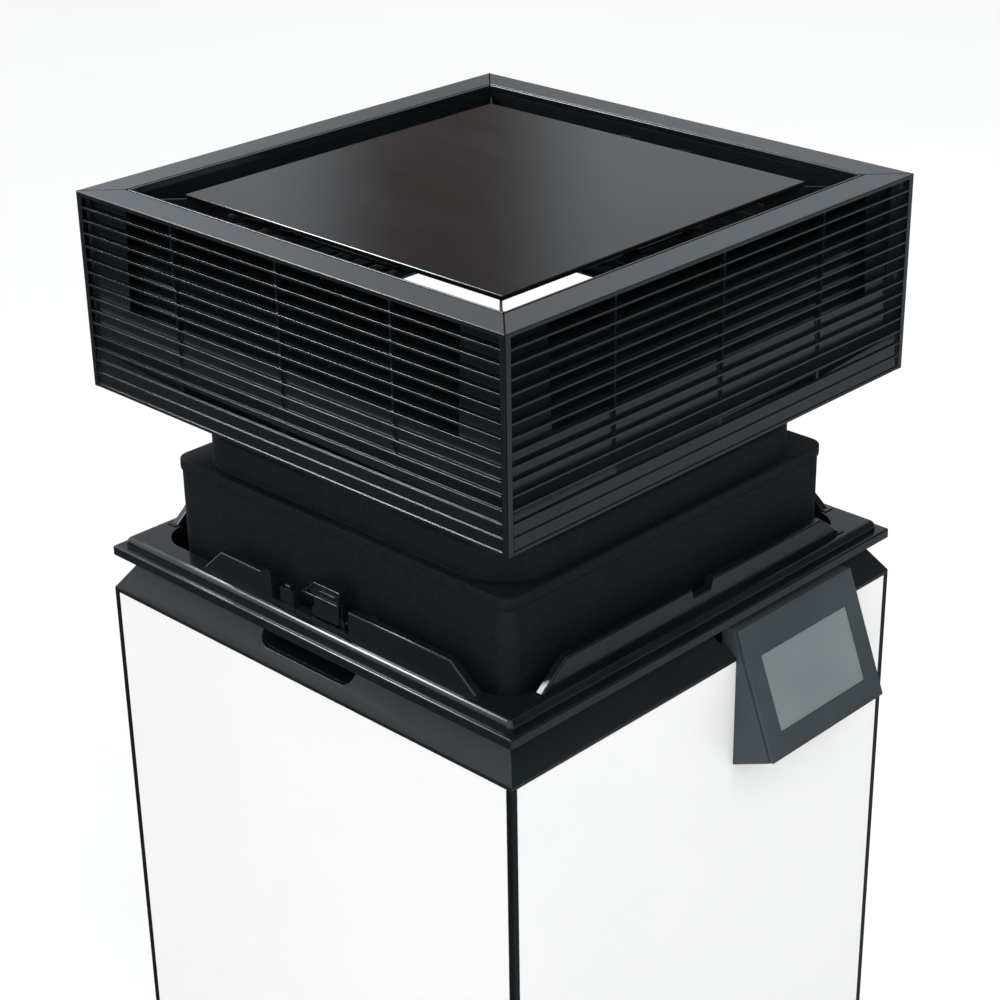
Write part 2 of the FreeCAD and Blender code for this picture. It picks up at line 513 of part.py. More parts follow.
# ---------------------------------------------------------------- fan
def make_fan():
    """Backward-curved impeller under a motor that hangs from a four-legged spider."""
    half = f"{HALF} - post_leg - 0.5"
    deck = box("deck_sheet", (f"-({half})", half), (f"-({half})", half),
               ("foam_low - gasket_thick + 1", "foam_low"))
    hole = rod("deck_hole", "inlet_radius + 22", (0, 0), "z", "foam_low - 8", "foam_low + 1")
    keep(cut("fan_deck", deck, hole), "fan_deck")

    plate = tube("nozzle_plate", "inlet_radius + 21.5", "inlet_radius", (0, 0), "z",
                 "foam_low - 2", "foam_low + 1")
    ledge = tube("nozzle_ledge", "inlet_radius + 27", "inlet_radius + 10", (0, 0), "z",
                 "foam_low - gasket_thick - 1", "foam_low - gasket_thick + 1")
    neck = tube("nozzle_neck", "inlet_radius + 3", "inlet_radius", (0, 0), "z",
                "foam_low - gasket_thick - 1", "impeller_low - 2")
    wall = tube("nozzle_wall", "inlet_radius + 21.5", "inlet_radius + 18", (0, 0), "z",
                "foam_low - gasket_thick - 1", "foam_low + 1")
    keep(fuse("inlet_nozzle", [plate, ledge, neck, wall]), "inlet_nozzle")

    hub_plate = rod("hub_plate", "impeller_radius", (0, 0), "z", "impeller_high - 3", "impeller_high")
    eye_ring = tube("eye_ring", "impeller_radius", "inlet_radius + 2", (0, 0), "z",
                    "impeller_low", "impeller_low + 3")
    blades = []
    count = int(number_of("blade_count"))
    start = number_of("blade_start")
    for index in range(count):
        blade = box(f"blade_{index}", (0, "blade_length"), ("-blade_thick / 2", "blade_thick / 2"),
                    ("impeller_low + 1", "impeller_high - 1"))
        blade.setExpression("Placement.Base.x", None)
        blade.setExpression("Placement.Base.y", None)
        step = 360 / count * index
        around = math.radians(step)
        foot = V(start * math.cos(around), start * math.sin(around), number_of("impeller_low + 1"))
        blade.Placement = FreeCAD.Placement(
            foot, FreeCAD.Rotation(V(0, 0, 1), step + number_of("blade_lean")))
        bind(blade, "Placement.Base.z", "impeller_low + 1")
        blades.append(blade)
    hub = rod("hub", "hub_radius", (0, 0), "z", "impeller_high - hub_depth", "impeller_high")
    wheel = fuse("wheel_solid", [hub_plate, eye_ring, hub] + blades)
    limit = rod("wheel_limit", "impeller_radius", (0, 0), "z", "impeller_low - 1", "impeller_high + 1")
    bounded = common("wheel_bounded", wheel, limit)
    bore = rod("wheel_bore", "shaft_radius", (0, 0), "z", "impeller_low", "impeller_high + 1")
    keep(cut("impeller", bounded, bore), "impeller")
    keep(rod("motor_shaft", "shaft_radius", (0, 0), "z", "impeller_high - hub_depth",
             "motor_high - 4"), "motor_shaft")

    can = rod("can", "motor_radius", (0, 0), "z", "motor_low", "motor_high")
    can_soft = rounded("can_soft", can, 4.0, lambda edge: edge.BoundBox.ZLength < 1e-6)
    room = rod("can_room", "motor_radius - 8", (0, 0), "z", "motor_low + 9", "motor_high - 12")
    seat_low = rod("seat_low", "bearing_radius", (0, 0), "z", "motor_low - 1", "motor_low + 9")
    seat_high = rod("seat_high", "bearing_radius", (0, 0), "z", "motor_high - 13", "motor_high - 4")
    keep(cut("motor_can", can_soft, [room, seat_low, seat_high]), "motor_can")
    for name, low in (("lower", "motor_low + 1"), ("upper", "motor_high - 12")):
        ring = tube(f"bearing_{name}", "bearing_radius", "shaft_radius + running_gap", (0, 0), "z",
                    low, f"{low} + bearing_width")
        keep(ring, f"bearing_{name}")

    spider_low, spider_high = "motor_high", "motor_high + spider_thick"
    inside = "foam_half - foam_wall"
    arm_span = ("-spider_arm", "spider_arm")
    arms = [box("arm_x", (f"-({inside})", inside), arm_span, (spider_low, spider_high)),
            box("arm_y", arm_span, (f"-({inside})", inside), (spider_low, spider_high)),
            rod("spider_hub", "motor_radius - 6", (0, 0), "z", spider_low, spider_high)]
    near = "impeller_radius + 12"
    leg_spans = {1: (near, inside), 0: arm_span, -1: (f"-({inside})", f"-({near})")}
    for index, (sx, sy) in enumerate(((1, 0), (-1, 0), (0, 1), (0, -1))):
        arms.append(box(f"spider_leg_{index}", leg_spans[sx], leg_spans[sy],
                        ("foam_low + foam_wall", spider_high)))
    keep(fuse("motor_spider", arms), "motor_spider")


# ---------------------------------------------------------------- filter
def make_filter():
    """Pleated cartridge in a stiff frame, sealed against the fan deck."""
    edge = "filter_half"
    outer = box("frame_outer", (f"-{edge}", edge), (f"-{edge}", edge), ("filter_low", "filter_high"))
    room = ("-filter_half + filter_shell", "filter_half - filter_shell")
    inner = box("frame_inner", room, room,
                ("filter_low - 1", "filter_high + 1"))
    shelf = box("filter_shelf", ("-filter_half - 6", "filter_half + 6"),
                ("-filter_half - 6", "filter_half + 6"), ("rim_top", "filter_low"))
    gap = box("filter_shelf_gap", ("-filter_half + 8", "filter_half - 8"),
              ("-filter_half + 8", "filter_half - 8"), ("rim_top - 1", "filter_low + 1"))
    keep(cut("filter_frame", fuse("frame_solid", [cut("frame_tube", outer, inner),
                                                  cut("shelf_ring", shelf, gap)]), box(
        "frame_clear", ("-filter_half + 8.5", "filter_half - 8.5"),
        ("-filter_half + 8.5", "filter_half - 8.5"), ("rim_top - 2", "filter_low + 2"))),
         "filter_frame")
    count = int(number_of("pleat_count"))
    deep = number_of("pleat_depth")
    side = number_of("filter_half - filter_shell")
    pitch = 2 * side / count
    low, high = number_of("filter_low") + 4, number_of("filter_high") - 8
    zigzag = []
    for index in range(count):
        x = -side + index * pitch
        zigzag += [(x, low + deep), (x + pitch / 2, low)]
    zigzag.append((side, low + deep))
    zigzag += [(side, high)]
    for index in reversed(range(count)):
        x = -side + index * pitch
        zigzag += [(x + pitch / 2, high - deep), (x, high)]
    wire = Part.makePolygon([V(x, -side, z) for x, z in zigzag + zigzag[:1]])
    media = doc.addObject("Part::Feature", "filter_media")
    media.Shape = Part.Face(wire).extrude(V(0, 2 * side, 0))
    keep(media, "filter_media")
    rim = box("gasket_rim", (f"-{edge}", edge), (f"-{edge}", edge),
              ("filter_high", "foam_low - gasket_thick + 1"))
    hole = box("gasket_hole", (f"-{edge} + 9", f"{edge} - 9"), (f"-{edge} + 9", f"{edge} - 9"),
               ("filter_high - 1", "foam_low"))
    keep(cut("filter_gasket", rim, hole), "filter_gasket")


# ---------------------------------------------------------------- electrics
def make_electrics():
    back = f"{HALF} - panel_thick"
    plate = box("plate_sheet", (-150, 150), (f"{back} - plate_thick", back), (80, 320))
    keep(plate, "electronics_plate")
    supply = box("supply_block", (-95, 15), (f"{back} - plate_thick - 18", f"{back} - plate_thick"),
                 (100, 180))
    keep(rounded("power_supply", supply, 2.0, lambda edge: edge.BoundBox.YLength > 10), "power_supply")
    board = box("board_sheet", (30, 120), (f"{back} - plate_thick - 8", f"{back} - plate_thick - 6.4"),
                (100, 200))
    chips = [box("board_relay", (40, 58), (f"{back} - plate_thick - 18", f"{back} - plate_thick - 7"),
                 (110, 128)),
             box("board_chip", (72, 92), (f"{back} - plate_thick - 10", f"{back} - plate_thick - 7"),
                 (145, 165)),
             box("board_plug", (98, 116), (f"{back} - plate_thick - 15", f"{back} - plate_thick - 7"),
                 (178, 190))]
    for index, (x, z) in enumerate(((35, 105), (115, 105), (35, 195), (115, 195))):
        chips.append(rod(f"board_stud_{index}", 3, (x, z), "y", f"{back} - plate_thick - 7",
                         f"{back} - plate_thick"))
    keep(fuse("control_board", [board] + chips), "control_board")

    face = "plinth_half + socket_brim"
    block = box("inlet_block", ("-socket_half", "socket_half"),
                ("plinth_half - socket_deep", "plinth_half"),
                ("foot_height + socket_low", "foot_height + socket_high"))
    frame = box("inlet_flange", ("-socket_half - 4", "socket_half + 4"), ("plinth_half", face),
                ("foot_height + socket_low - 3", "foot_height + socket_high + 3"))
    cavity = box("inlet_cavity", (-26, 2), ("plinth_half - 18", "plinth_half + 3"),
                 ("foot_height + 12", "foot_height + 33"))
    well = box("rocker_well", (7, 26), ("plinth_half - 14", "plinth_half + 3"),
               ("foot_height + 11.5", "foot_height + 33.5"))
    pins = [box(f"inlet_pin_{index}", (x - 1, x + 1), ("plinth_half - 20", "plinth_half - 3"),
                (f"foot_height + {z}", f"foot_height + {z + 5}"))
            for index, (x, z) in enumerate(((-20, 18), (-12, 22), (-4, 18)))]
    shell = cut("inlet_shell", fuse("inlet_solid", [block, frame]), [cavity, well])
    axle = rod("rocker_axle_pin", "rocker_axle",
               ("plinth_half - rocker_depth", "foot_height + rocker_rise"), "x", 6, 27)
    keep(fuse("mains_inlet", [shell, axle] + pins), "mains_inlet")

    mid = "foot_height + rocker_rise"
    key = prism("key_outline", "YZ",
                [("plinth_half - 10", f"{mid} - 4"), ("plinth_half + 0.8", f"{mid} - 8.8"),
                 ("plinth_half + 0.2", mid), ("plinth_half + 3.2", f"{mid} + 8.8"),
                 ("plinth_half - 10", f"{mid} + 4")], 8, 25)
    bore = rod("key_bore", "rocker_axle + running_gap", ("plinth_half - rocker_depth", mid), "x", 7, 26)
    keep(cut("rocker_key", key, bore), "rocker_key")


# ---------------------------------------------------------------- display pod
def make_pod():
    """Wedge-shaped display pod: its sloping face carries the touch screen."""
    top_out, top = "-pod_top_out", "cabinet_top + pod_top"
    front_out, front = "-pod_front_out", "cabinet_top + pod_front"
    heel = "cabinet_top + pod_heel"
    outline = [(top_out, top), (front_out, front), (f"-{HALF}", heel),
               (f"-{HALF}", "cabinet_top + lip_height"), ("-pod_back", "cabinet_top + lip_height"),
               ("-pod_back", top)]
    wedge = prism("pod_wedge", "YZ", outline, "pod_left", "pod_right")
    inner = [(f"-{HALF} - pod_back_wall", f"{top} - pod_tip_drop"),
             (f"{front_out} + 5.4", f"{front} + 5"),
             (f"-{HALF} - pod_back_wall", f"{heel} + 4")]
    hollow = prism("pod_hollow", "YZ", inner, "pod_left + pod_wall", "pod_right - pod_wall")

    run_out = number_of("pod_front_out - pod_top_out")
    run_up = number_of("pod_top - pod_front")
    slant = math.degrees(math.atan2(run_out, run_up))
    face_length = math.hypot(run_out, run_up)
    corner = V(number_of("pod_left"), -number_of("pod_front_out"), number_of(front))
    turn = FreeCAD.Rotation(V(1, 0, 0), -slant)

    def face_box(name, across, inward, up, sizes):
        """A box that lies in the sloping face; sizes are bound, its place follows the slant."""
        piece = doc.addObject("Part::Box", name)
        for prop, text in zip(("Length", "Width", "Height"), sizes):
            bind(piece, prop, text)
        piece.Placement = FreeCAD.Placement(corner + turn.multVec(V(across, inward, up)), turn)
        return piece

    side = number_of("screen_side")
    low = face_length - number_of("screen_drop + screen_height")
    rim = number_of("glass_rim")
    sunk = number_of("glass_sunk")
    seat_size = ("screen_width + 2 * glass_rim", "seat_depth", "screen_height + 2 * glass_rim")
    window = face_box("pod_window", side, -2, low, ("screen_width", "4", "screen_height"))
    seat = face_box("pod_seat", side - rim, sunk, low - rim, seat_size)
    seam_size = ("1 + seam_deep", "seam_wide", f"{face_length} + 4")
    seam_left = face_box("pod_seam_left", -1, number_of("face_plate"), -2, seam_size)
    seam_right = face_box("pod_seam_right", number_of("pod_right - pod_left - seam_deep"),
                          number_of("face_plate"), -2, seam_size)
    keep(cut("display_housing", wedge, [hollow, window, seat, seam_left, seam_right]),
         "display_housing")
    keep(face_box("display_glass", side - rim, sunk, low - rim,
                  (seat_size[0], "glass_thick", seat_size[2])), "display_glass")
    keep(face_box("display_board", side - rim, sunk + number_of("glass_thick"), low - rim,
                  (seat_size[0], "board_thick", seat_size[2])), "display_board")


# ---------------------------------------------------------------- hood
HOOD_LOW = f"{FLANGE_TOP} + hood_lift"
HOOD_TOP = f"{HOOD_LOW} + hood_height"


def make_hood_side():
    """Mitred louvred moulding: bezel, skirt, slats, ribs, stiles, bottom rail and a drafted back
    wall with one wide air window. Front and back also have a solid block for the corner screws."""
    half = "hood_side / 2"
    bezel_inner = f"{half} - bezel_width"
    bezel = box("bezel", (f"-{half}", half), (f"-{half}", f"-({bezel_inner})"),
                (f"{HOOD_TOP} - bezel_thick", HOOD_TOP))
    bezel_level = number_of(HOOD_TOP)
    bezel_soft = rounded("bezel_soft", bezel, number_of("edge_round"),
                         lambda edge: level_at(bezel_level)(edge) and edge.BoundBox.XLength > 10)
    groove = box("bezel_groove", (f"-{half}", half),
                 (f"-({bezel_inner}) - groove_in - groove_wide", f"-({bezel_inner}) - groove_in"),
                 (f"{HOOD_TOP} - groove_deep", f"{HOOD_TOP} + 1"))
    skirt = box("skirt", (f"-{half}", half),
                (f"-({bezel_inner}) - skirt_wall", f"-({bezel_inner})"),
                (f"{HOOD_TOP} - skirt_drop", f"{HOOD_TOP} - 1"))
    rail = box("bottom_rail", (f"-{half}", half), (f"-{half} + 0.2", "-hood_inner"),
               (HOOD_LOW, f"{HOOD_LOW} + rail_thick"))
    wall_high = f"{HOOD_TOP} - 1"
    wall = prism("back_wall", "YZ",
                 [(f"-{half} + wall_foot", HOOD_LOW), (f"-{half} + wall_foot + wall_thick", HOOD_LOW),
                  (f"-{half} + wall_head + wall_thick", wall_high), (f"-{half} + wall_head", wall_high)],
                 f"-{half}", half)
    window = box("air_window", (f"-{half} + window_margin", f"{half} - window_margin"),
                 (f"-{half}", f"-{half} + wall_head + wall_thick + 1"),
                 (f"{HOOD_LOW} + window_low", wall_high))
    pieces = [cut("bezel_grooved", bezel_soft, groove), skirt, rail, cut("windowed_wall", wall, window)]
    open_slats = int(number_of("slat_open"))
    for index in range(int(number_of("slat_count"))):
        nose = f"{HOOD_TOP} - slat_first - {index} * slat_pitch"
        back = "-slat_inner" if index < open_slats else f"-{half} + slat_short"
        fall = "slat_fall" if index < open_slats else "0"
        pieces.append(prism(f"slat_{index}", "YZ",
                            [(f"-{half} + slat_set", nose), (f"-{half} + slat_set", f"{nose} - slat_thick"),
                             (back, f"{nose} - slat_thick - {fall}"), (back, f"{nose} - {fall}")],
                            f"-{half}", half))
    for index in (-1, 0, 1):
        pieces.append(box(f"rib_{index + 1}",
                          (f"{index} * rib_pitch - rib_wall / 2", f"{index} * rib_pitch + rib_wall / 2"),
                          (f"-{half} + rib_set", "-hood_inner"), (HOOD_LOW, f"{HOOD_TOP} - 1")))
    for sign in (-1, 1):
        low = f"-{half}" if sign < 0 else f"{half} - stile_width"
        high = f"-{half} + stile_width" if sign < 0 else half
        pieces.append(box(f"stile_{sign + 1}", (low, high), (f"-{half}", "-hood_inner"),
                          (HOOD_LOW, f"{HOOD_TOP} - 0.8")))
    whole = fuse("hood_side_solid", pieces)
    mitre = prism("hood_mitre", "XY",
                  [(f"-{half} - 5 + seam_gap", f"-{half} - 5"), (f"{half} + 5 - seam_gap", f"-{half} - 5"),
                   ("100 - seam_gap", -100), ("-100 + seam_gap", -100)],
                  f"{HOOD_LOW} - 1", f"{HOOD_TOP} + 1")
    side = common("hood_side", whole, mitre)
    block = box("screw_block", (f"{half} - block_width", half), (f"-{half} + block_set", "-hood_inner"),
                (HOOD_LOW, f"{HOOD_TOP} - 1"))
    blocked = common("hood_side_blocked", fuse("hood_side_with_block", [whole, block]), mitre)
    doc.recompute()
    for label, degrees in SIDES.items():
        moulding = blocked if label in ("front", "back") else side
        keep(turned(f"hood_side_{label}", moulding, degrees), f"hood_side_{label}")


def make_hood_top():
    """Gloss panel that floats inside the bezel on braces and brackets."""
    top = f"{HOOD_TOP} - panel_drop"
    slab = square_block("top_panel", "panel_half", f"{top} - top_panel_thick", top)
    level = number_of(top)
    keep(rounded("hood_top_panel", slab, 0.8, lambda edge: level_at(level)(edge) or upright(edge)),
         "hood_top_panel")
    under = f"{top} - top_panel_thick"
    skirt_face = "hood_side / 2 - bezel_width"
    arm_low, arm_high = f"{HOOD_TOP} - bracket_low", f"{HOOD_TOP} - bracket_low + bracket_thick"
    arm_places = {"front": ((-25, 10), (24, 10)), "right": ((-25, 10), (24, 10)),
                  "back": ((-25, 10), (24, 10)), "left": ((-83, 10), (-51, 10), (46, 2.4))}
    doc.recompute()
    for side, degrees in SIDES.items():
        places = arm_places[side]
        arms = []
        for index, (start, width) in enumerate(places):
            arms.append(box(f"bracket_arm_{side}_{index}", (start, start + width),
                            (f"-({skirt_face})", "-panel_half + 14"), (arm_low, arm_high)))
        first = min(start for start, width in places)
        last = max(start + width for start, width in places)
        arms.append(box(f"bracket_bar_{side}", (first, last), ("-panel_half + 10", "-panel_half + 14"),
                        (arm_low, under)))
        bracket = fuse(f"bracket_{side}", arms)
        doc.recompute()
        keep(turned(f"panel_bracket_{side}", bracket, degrees), f"panel_bracket_{side}")

    inner = "slat_inner"
    plate_low, plate_high = f"{HOOD_LOW} + brace_low", f"{HOOD_TOP} - bezel_thick"
    leg_x = box("angle_x", (f"-{inner}", f"-{inner} + brace_leg"), (f"-{inner}", f"-{inner} + 2"),
                (plate_low, plate_high))
    leg_y = box("angle_y", (f"-{inner}", f"-{inner} + 2"), (f"-{inner}", f"-{inner} + brace_leg"),
                (plate_low, plate_high))
    web_level = f"{HOOD_TOP} - brace_drop"
    web = box("brace_web", (0, "(slat_inner - panel_half + brace_leg) * sqrt(2)"), (-0.6, 0.6),
              (web_level, under))
    web.setExpression("Placement.Base.x", None)
    web.setExpression("Placement.Base.y", None)
    reach = -number_of(inner) + 1
    web.Placement = FreeCAD.Placement(V(reach, reach, number_of(web_level)),
                                      FreeCAD.Rotation(V(0, 0, 1), 45))
    bind(web, "Placement.Base.z", web_level)
    skirt_out = f"-({skirt_face}) - skirt_wall - 0.1"
    skirt_in = f"-({skirt_face}) + 0.1"
    skirt_span = (f"{HOOD_TOP} - skirt_drop - 0.1", HOOD_TOP)
    relief_x = box("brace_relief_x", (skirt_out, 0), (skirt_out, skirt_in), skirt_span)
    relief_y = box("brace_relief_y", (skirt_out, skirt_in), (skirt_out, 0), skirt_span)
    brace = cut("corner_brace", fuse("corner_brace_solid", [leg_x, leg_y, web]), [relief_x, relief_y])
    doc.recompute()
    for number in range(1, 5):
        keep(turned(f"hood_corner_brace_{number}", brace, 90 * (number - 1)),
             f"hood_corner_brace_{number}")

    plate = box("catch_plate", ("-hood_side / 2 + slat_short", "-hook_pivot_x - 6"), (1.5, 29),
                (f"{HOOD_LOW} + 16.5", f"{HOOD_LOW} + 28"))
    tongue = box("catch_tongue", ("-hood_side / 2 + slat_short", "-fin_back - 0.5"), (20.5, 26.5),
                 (f"{HOOD_LOW} + 19", f"{HOOD_LOW} + 22"))
    keep(fuse("hood_catch", [plate, tongue]), "hood_catch")


make_base()
make_posts_and_panels()
make_shoulder()
make_ring()
make_catch()
make_foam_box()
make_fan()
make_filter()
make_electrics()
make_pod()
make_hood_side()
make_hood_top()
doc.recompute()

failed = [item.Name for item in doc.Objects if "Invalid" in item.State or "Error" in item.State]
assert not failed, f"objects that did not recompute: {failed}"
os.makedirs("parts", exist_ok=True)
for node in NODES:
    shape = node.Shape
    assert not shape.isNull() and shape.isValid(), f"bad shape: {node.Label}"
    shape.exportStep(f"parts/{node.Label}.step")
    print(f"{node.Label:24s} solids {len(shape.Solids)} volume {shape.Volume / 1000:9.2f} cm3")
print(len(NODES), "nodes")
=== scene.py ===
"""Square floor-standing air purifier with its louvred outlet hood lifted off: materials, light, camera."""
import json
import math

import bmesh
import bpy
from mathutils import Matrix, Vector


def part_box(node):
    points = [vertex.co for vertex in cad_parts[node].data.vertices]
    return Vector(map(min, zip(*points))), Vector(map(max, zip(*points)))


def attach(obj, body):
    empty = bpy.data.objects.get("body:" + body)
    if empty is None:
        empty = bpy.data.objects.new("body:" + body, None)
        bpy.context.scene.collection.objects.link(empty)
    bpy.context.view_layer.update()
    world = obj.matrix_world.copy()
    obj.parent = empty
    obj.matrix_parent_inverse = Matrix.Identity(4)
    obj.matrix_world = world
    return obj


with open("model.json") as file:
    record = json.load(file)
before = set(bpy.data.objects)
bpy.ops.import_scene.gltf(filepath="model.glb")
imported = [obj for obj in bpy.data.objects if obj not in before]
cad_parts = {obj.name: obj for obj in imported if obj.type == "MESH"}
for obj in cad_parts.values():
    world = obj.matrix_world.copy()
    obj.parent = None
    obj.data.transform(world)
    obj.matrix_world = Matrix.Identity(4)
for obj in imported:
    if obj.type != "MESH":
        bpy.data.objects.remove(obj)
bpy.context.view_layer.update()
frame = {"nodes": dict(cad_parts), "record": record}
NODES = frame["nodes"]
MM = 0.001
HOOD_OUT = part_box("hood_side_front")[1][0]
HOOD_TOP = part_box("hood_side_front")[1][2]


# ---------------------------------------------------------------- small helpers
class Shader:
    """One node material: adds nodes, links them and ends in a Principled surface."""

    def __init__(self, name):
        self.material = bpy.data.materials.new(name)
        self.material.use_nodes = True
        self.tree = self.material.node_tree
        self.tree.nodes.clear()
        self.surface = self.tree.nodes.new("ShaderNodeBsdfPrincipled")
        output = self.tree.nodes.new("ShaderNodeOutputMaterial")
        self.link(self.surface.outputs["BSDF"], output.inputs["Surface"])
        self.place = self.tree.nodes.new("ShaderNodeTexCoord").outputs["Object"]
        self.normal = None

    def link(self, source, target):
        self.tree.links.new(source, target)

    def set(self, **values):
        """Sets plain inputs of the surface: names are given with underscores for spaces."""
        for key, value in values.items():
            self.surface.inputs[key.replace("_", " ")].default_value = value

    def stretched(self, scale):
        """Object coordinates in metres, stretched per axis."""
        node = self.tree.nodes.new("ShaderNodeMapping")
        node.inputs["Scale"].default_value = scale
        self.link(self.place, node.inputs["Vector"])
        return node.outputs["Vector"]

    def noise(self, size, detail=3.0, rough=0.5, vector=None):
        """Noise whose lumps are about size metres across."""
        node = self.tree.nodes.new("ShaderNodeTexNoise")
        node.inputs["Scale"].default_value = 1.0 / size
        node.inputs["Detail"].default_value = detail
        node.inputs["Roughness"].default_value = rough
        self.link(vector or self.place, node.inputs["Vector"])
        return node.outputs["Fac"]

    def cells(self, size, feature="F1"):
        """Distance field of cells about size metres across."""
        node = self.tree.nodes.new("ShaderNodeTexVoronoi")
        node.feature = feature
        node.inputs["Scale"].default_value = 1.0 / size
        self.link(self.place, node.inputs["Vector"])
        return node.outputs["Distance"]

    def spread(self, source, low, high, from_low=0.3, from_high=0.7):
        """Maps a value from its own range to low..high."""
        node = self.tree.nodes.new("ShaderNodeMapRange")
        node.inputs["From Min"].default_value = from_low
        node.inputs["From Max"].default_value = from_high
        node.inputs["To Min"].default_value = low
        node.inputs["To Max"].default_value = high
        self.link(source, node.inputs["Value"])
        return node.outputs["Result"]

    def times(self, first, second):
        node = self.tree.nodes.new("ShaderNodeMath")
        node.operation = "MULTIPLY"
        self.link(first, node.inputs[0])
        self.link(second, node.inputs[1])
        return node.outputs["Value"]

    def two_tone(self, source, dark, light):
        """Colour that runs from dark to light as source goes from 0 to 1."""
        node = self.tree.nodes.new("ShaderNodeMix")
        node.data_type = "RGBA"
        node.inputs[6].default_value = (*dark, 1)
        node.inputs[7].default_value = (*light, 1)
        self.link(source, node.inputs[0])
        return node.outputs[2]

    def relief(self, source, depth):
        """Adds one bump layer, depth in metres, on top of the ones before it."""
        node = self.tree.nodes.new("ShaderNodeBump")
        node.inputs["Strength"].default_value = 1.0
        node.inputs["Distance"].default_value = depth
        self.link(source, node.inputs["Height"])
        if self.normal:
            self.link(self.normal, node.inputs["Normal"])
        self.normal = node.outputs["Normal"]
        self.link(self.normal, self.surface.inputs["Normal"])

    def colour(self, source):
        self.link(source, self.surface.inputs["Base Color"])

    def finish(self, colour, rough, grain, depth, streak, gloss):
        """Spark-eroded grain, slow tone change and uneven sheen of a moulded part."""
        light = tuple(value * 1.2 for value in colour)
        dark = tuple(value * 0.8 for value in colour)
        self.tone = self.two_tone(self.spread(self.noise(60 * MM), 0, 1), dark, light)
        self.colour(self.tone)
        smear = self.noise(9 * MM, 4, 0.6, self.stretched((0.25, 0.25, 1.0)))
        self.rough_value = self.spread(smear, rough - streak, rough + streak)
        self.roughness(self.rough_value)
        self.set(IOR=1.5, Specular_IOR_Level=gloss, Specular_Tint=COOL_GLOSS)
        self.relief(self.noise(45 * MM, 1), 0.05 * MM)
        self.relief(self.noise(grain, 2), depth)

    def parts(self):
        """Object coordinates as three separate values."""
        node = self.tree.nodes.new("ShaderNodeSeparateXYZ")
        self.link(self.place, node.inputs["Vector"])
        return node.outputs

    def height(self):
        return self.parts()["Z"]

    def largest(self, first, second):
        node = self.tree.nodes.new("ShaderNodeMath")
        node.operation = "MAXIMUM"
        self.link(first, node.inputs[0])
        self.link(second, node.inputs[1])
        return node.outputs["Value"]

    def depth_behind(self, wall):
        """How far a point lies behind the four upright walls of a square, in metres."""
        sides = []
        for letter in "XY":
            node = self.tree.nodes.new("ShaderNodeMath")
            node.operation = "ABSOLUTE"
            self.link(self.parts()[letter], node.inputs[0])
            sides.append(node.outputs["Value"])
        node = self.tree.nodes.new("ShaderNodeMath")
        node.operation = "SUBTRACT"
        node.inputs[0].default_value = wall
        self.link(self.largest(*sides), node.inputs[1])
        return node.outputs["Value"]

    def facing(self, direction):
        """Cosine between the surface's own normal and a direction of the object."""
        node = self.tree.nodes.new("ShaderNodeVectorMath")
        node.operation = "DOT_PRODUCT"
        self.link(self.tree.nodes.new("ShaderNodeNewGeometry").outputs["True Normal"], node.inputs[0])
        node.inputs[1].default_value = direction
        return node.outputs["Value"]

    def blend(self, weight, source, other):
        """Goes from source to the plain value other as weight goes from 0 to 1."""
        node = self.tree.nodes.new("ShaderNodeMix")
        node.data_type = "FLOAT"
        self.link(weight, node.inputs[0])
        self.link(source, node.inputs[2])
        node.inputs[3].default_value = other
        return node.outputs[0]

    def tint(self, weight, source, colour):
        """Goes from the colour source to a plain colour as weight goes from 0 to 1."""
        node = self.tree.nodes.new("ShaderNodeMix")
        node.data_type = "RGBA"
        self.link(weight, node.inputs[0])
        self.link(source, node.inputs[6])
        node.inputs[7].default_value = (*colour, 1)
        return node.outputs[2]

    def roughness(self, source):
        self.link(source, self.surface.inputs["Roughness"])


COOL_GLOSS = (0.81, 0.915, 1.0, 1.0)


def moulded_plastic(name, colour, rough, grain=0.25 * MM, depth=0.004 * MM, streak=0.06, gloss=0.5):
    """Injection moulded plastic: fine spark-eroded grain, faint flow streaks, uneven sheen."""
    shader = Shader(name)
    shader.finish(colour, rough, grain, depth, streak, gloss)
    return shader.material


LOUVRE_GLOSS = 0.7
SHADE_GLOSS = 0.06
SHADE_ROUGH = 0.7
# Grey painted on the bezel's upward face: a painted sheen of the light from above, laid over its satin
# finish.
BEZEL_SHEEN_GREY = (0.036, 0.041, 0.045)
BEZEL_ROUGH = 0.34
# Heights in the hood between which a look fades, low then high.
RIB_SHADE = (HOOD_TOP - 104 * MM, HOOD_TOP - 98 * MM)
WALL_SHADE = (HOOD_TOP - 100 * MM, HOOD_TOP - 50 * MM)
BEZEL_UNDERSIDE = (HOOD_TOP - 4.5 * MM, HOOD_TOP - 3.5 * MM)
BEZEL_FACE = (HOOD_TOP - 1.2 * MM, HOOD_TOP - 0.6 * MM)


def shaded_faces(shader, depth):
    """Weight of the upright faces of ribs and wall, which stand in the shade behind the slats' noses."""
    rib = shader.times(shader.spread(depth, 0, 1, 1.2 * MM, 1.4 * MM),
                       shader.spread(depth, 1, 0, 2.3 * MM, 2.5 * MM))
    rib = shader.times(rib, shader.spread(shader.height(), 0, 1, *RIB_SHADE))
    wall = shader.times(shader.spread(depth, 0, 0.85, 3.2 * MM, 4.2 * MM),
                        shader.spread(shader.height(), 0, 1, *WALL_SHADE))
    lean = shader.facing((0, 0, 1))
    upright = shader.times(shader.spread(lean, 0, 1, -0.4, -0.2), shader.spread(lean, 1, 0, 0.2, 0.4))
    return shader.times(shader.largest(rib, wall), upright)


